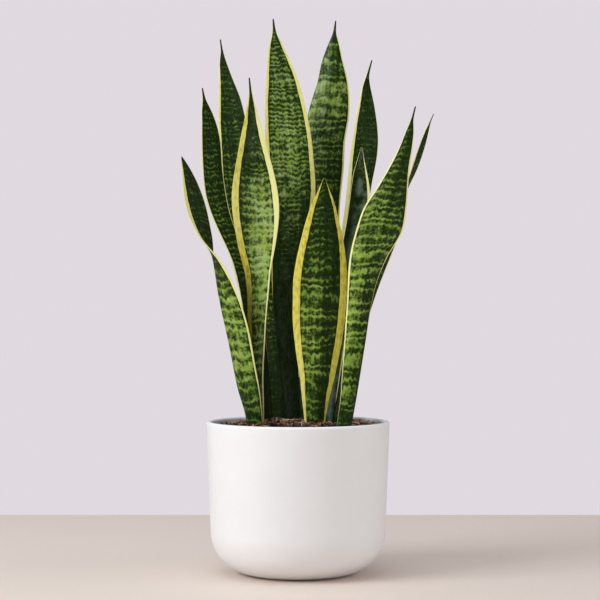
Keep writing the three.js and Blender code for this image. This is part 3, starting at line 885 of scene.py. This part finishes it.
def loose_pieces(places, size, rings, columns, raggedness, tilt, lift):
    """Ragged, tapered lumps. Each is a tube along its own X: a ring at s from -1 to 1 has the
    radius (1 - s^4)^0.5, uneven from corner to corner, and the lump is then scaled to its size,
    tilted, turned and set down on the mound, up to lift away from it."""
    count = len(places)
    s = np.linspace(-END_RING, END_RING, rings)
    angle = np.linspace(0, 2 * np.pi, columns, endpoint=False)
    radius = np.sqrt(1 - s**4)[None, :, None]
    radius = radius * random.uniform(1 - raggedness, 1 + raggedness, (count, rings, columns))
    x = s[None, :, None] + RING_SLIP * random.uniform(-1, 1, (count, rings, columns))
    shape = np.stack([x, radius * np.cos(angle), radius * np.sin(angle)], -1) * size[:, None, None]
    yaw = turning(random.uniform(0, 2 * np.pi, count), 2)
    pitch = turning(random.normal(0, tilt, count), 1)
    roll = turning(random.normal(0, tilt, count), 0)
    shape = np.einsum("nij,njk,nkl,nrcl->nrci", yaw, pitch, roll, shape)
    ground = mound(*places.T) + random.uniform(-lift, lift, count)
    centre = np.c_[places, ground]
    return shape + centre[:, None, None]


def graded(shape, scale, least, most):
    """Random half sizes in metres, from limits in mm: many small ones and a few large ones."""
    return random.gamma(GRADING, scale, shape).clip(least, most) * MM


print("a lump's rings slip by up to", RING_SLIP, "of its half length")

# %% Bark chips and crumbs
chip_places = free_places(1700, 4 * MM, 4.5 * MM)
chip_count = len(chip_places)
chip_size = np.stack([
    graded(chip_count, 1.0, 1.4, 6.5),
    graded(chip_count, 0.42, 0.6, 2.6),
    graded(chip_count, 0.34, 0.5, 1.7),
], -1)
chips = loose_pieces(
    chip_places, chip_size, rings=5, columns=6, raggedness=0.32, tilt=0.6, lift=1.6 * MM)
chip_tint = random.uniform(0, 1, (chip_count, 1, 1))
add_tubes("bark_chips", chips, bark_material, {"tint": chip_tint}, smooth=False)

crumb_places = free_places(2600, 2.5 * MM, 3 * MM)
crumb_count = len(crumb_places)
crumb_size = graded((crumb_count, 3), 0.25, 0.3, 1.4)
crumbs = loose_pieces(
    crumb_places, crumb_size, rings=3, columns=5, raggedness=0.35, tilt=1.0, lift=0.8 * MM)
crumb_tint = random.uniform(0, 0.5, (crumb_count, 1, 1))
add_tubes("mulch_crumbs", crumbs, bark_material, {"tint": crumb_tint}, smooth=False)

# %% [markdown]
# A coir fibre is a long, thin hair that lies in a loose bow. Its path is a parabola across the
# mulch, a little arched at the middle, and a small ring is carried along it.

# %% Coir fibres
FIBRE_LIFT = 1.2 * MM
FIBRE_TO_WALL = 1.5 * MM
FIBRE_TAPER = 0.7


def fibres(places, length, bow, arch, thickness, steps=9, columns=4):
    """Thin tubes: the path at t from -1 to 1 is length * t ahead, bow * t^2 aside and
    arch * (1 - t^2) up from the mound. A ring square to it is carried along, and its radius is
    the thickness times 1 - taper * t^4. The ring runs from side to over, which is anticlockwise
    seen from the path's far end. A path that would leave the pot is pulled back inside."""
    t = np.linspace(-1, 1, steps)[None, :]
    yaw = random.uniform(0, 2 * np.pi, (len(places), 1))
    ahead = np.stack([np.cos(yaw), np.sin(yaw)], -1)
    aside = np.stack([-np.sin(yaw), np.cos(yaw)], -1)
    flat = places[:, None] + ahead * (length * t)[..., None] + aside * (bow * t**2)[..., None]
    away = np.linalg.norm(flat, axis=-1)
    flat *= np.minimum(1, (mulch_radius - FIBRE_TO_WALL) / away)[..., None]
    up = mound(flat[..., 0], flat[..., 1]) + FIBRE_LIFT + arch * (1 - t**2)
    path = np.concatenate([flat, up[..., None]], -1)
    forward = np.gradient(path, axis=1)
    forward /= np.linalg.norm(forward, axis=-1, keepdims=True)
    side = np.cross(forward, [0.0, 0.0, 1.0])
    side /= np.linalg.norm(side, axis=-1, keepdims=True)
    over = np.cross(forward, side)
    angle = np.linspace(0, 2 * np.pi, columns, endpoint=False)[None, None, :, None]
    ring = np.cos(angle) * side[:, :, None] + np.sin(angle) * over[:, :, None]
    slim = (1 - FIBRE_TAPER * t**4)[..., None, None] * thickness[..., None, None]
    return path[:, :, None] + ring * slim


fibre_places = free_places(170, 8 * MM, 5 * MM)
fibre_count = len(fibre_places)
fibre_grid = fibres(
    fibre_places,
    length=random.uniform(3, 12, (fibre_count, 1)) * MM,
    bow=random.uniform(-5, 5, (fibre_count, 1)) * MM,
    arch=random.uniform(0.5, 3.2, (fibre_count, 1)) * MM,
    thickness=random.uniform(0.16, 0.4, (fibre_count, 1)) * MM,
)
fibre_tint = random.uniform(0.3, 1.1, (fibre_count, 1, 1))
add_tubes("coir_fibres", fibre_grid, fibre_material, {"tint": fibre_tint})

# %% [markdown]
# ## Floor, light and camera
#
# The plant stands on a plain pale floor in a light grey room. Four large soft lamps light it. The
# window on the left is the strongest: it gives the pot its shading and lays a faint shadow to
# the right. A fill from the right opens the shaded side, a weak one from the front keeps the
# leaves' faces readable, and one under the ceiling lights the rim and the mulch. The room itself
# shines in every shadow too. A Light Path node lets the camera see the room at full strength,
# while the plant gets less than half of it.

# %% The floor
# It ends a little behind the plant, and the room shows above that edge.
FLOOR_REACH = 4
FLOOR_BACK = 0.54
floor_finish = Finish("pale floor", Base_Color=shade(228, 213, 200), Roughness=0.6)
floor_corners = [
    (-FLOOR_REACH, -FLOOR_REACH, 0),
    (FLOOR_REACH, -FLOOR_REACH, 0),
    (FLOOR_REACH, FLOOR_BACK, 0),
    (-FLOOR_REACH, FLOOR_BACK, 0),
]
floor_mesh = bpy.data.meshes.new("floor")
floor_mesh.from_pydata(floor_corners, [], [(0, 1, 2, 3)])
floor_mesh.materials.append(floor_finish.material)
floor = bpy.data.objects.new("floor", floor_mesh)
bpy.context.scene.collection.objects.link(floor)
print("floor ends", FLOOR_BACK, "m behind the pot's axis")

# %% The room's light and the lamps
ROOM_LIGHT = 0.45
LAMP_COLOUR = (0.91, 0.98, 1.03)
LAMPS_FACE = (0, 0, 0.25)

room = bpy.data.worlds.new("room")
room.use_nodes = True
backdrop = room.node_tree.nodes["Background"]
wiring = Wiring(room.node_tree)
seen = wiring.node("ShaderNodeLightPath", {}, {}, "Is Camera Ray")
strength = wiring.node("ShaderNodeMapRange", {}, {"Value": seen, "To Min": ROOM_LIGHT})
wiring.feed(backdrop.inputs["Color"], shade(224, 218, 224))
wiring.feed(backdrop.inputs["Strength"], strength)
bpy.context.scene.world = room
bpy.context.scene.view_settings.view_transform = "Standard"


def add_lamp(name, place, size, power):
    """A square soft lamp, size metres wide, that faces the middle of the plant. It is tilted up
    from straight down and then swung round Z."""
    light = bpy.data.lights.new(name, "AREA")
    light.color = LAMP_COLOUR
    light.size = size
    light.energy = power
    lamp = bpy.data.objects.new(name, light)
    lamp.location = place
    x, y, z = np.array(LAMPS_FACE) - np.array(place)
    lamp.rotation_euler = (math.atan2(math.hypot(x, y), -z), 0, math.atan2(-x, y))
    bpy.context.scene.collection.objects.link(lamp)


add_lamp("window", (-1.9, -1.1, 1.4), 1.3, 40)
add_lamp("right_fill", (2.1, -0.4, 0.9), 1.6, 13)
add_lamp("front_fill", (0.1, -2.6, 0.4), 1.2, 5)
add_lamp("ceiling", (-0.3, -0.3, 2.4), 1.6, 20)
print("four lamps")

# %% The camera
CAMERA_PLACE = (0.0022, -2.0, 0.2983)
LENS = 109.8
SENSOR_WIDTH = 36
camera_data = bpy.data.cameras.new("camera")
camera_data.lens = LENS
camera_data.sensor_width = SENSOR_WIDTH
camera = bpy.data.objects.new("camera", camera_data)
camera.location = CAMERA_PLACE
camera.rotation_euler = (math.pi / 2, 0, 0)
bpy.context.scene.collection.objects.link(camera)
bpy.context.scene.camera = camera
print("camera", -CAMERA_PLACE[1], "m in front of the pot")
